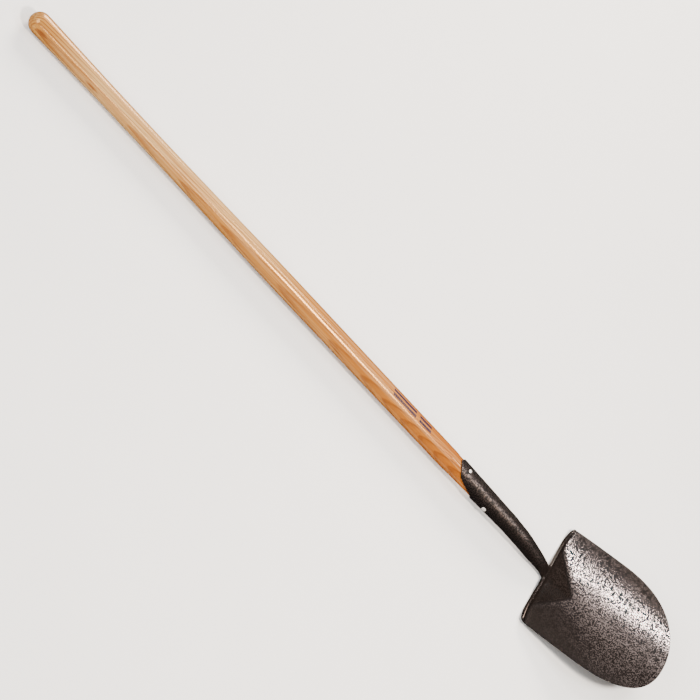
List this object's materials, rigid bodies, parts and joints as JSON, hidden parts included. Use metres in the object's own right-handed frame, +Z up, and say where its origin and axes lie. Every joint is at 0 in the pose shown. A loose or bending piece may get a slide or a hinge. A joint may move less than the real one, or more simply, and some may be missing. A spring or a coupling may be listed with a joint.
{
  "type": "round point shovel",
  "caption": "Long-handled round point shovel: a dished, pointed steel blade forged in one with its shank and slant-mouthed socket, on a straight ash handle.",
  "frame": {"origin": "centre of the bounding box in plan, on the ground that the shovel lies on", "axes": "+X along the handle from the butt to the blade's tip, +Y across the blade, +Z up, out of the blade's front (hollow) side"},
  "size_m": [1.576, 0.2224, 0.0657],
  "materials": {
    "forged_steel": "clear-lacquered forging scale, mottled dark brown to silver grey",
    "lacquered_ash": "clear-lacquered ash, straight grained, satin gloss",
    "bright_steel": "bright steel"
  },
  "bodies": {
    "root": {"shovel_head": "forged_steel", "handle": "lacquered_ash", "upper_nail": "bright_steel", "lower_rivet": "bright_steel"}
  },
  "joints": []
}
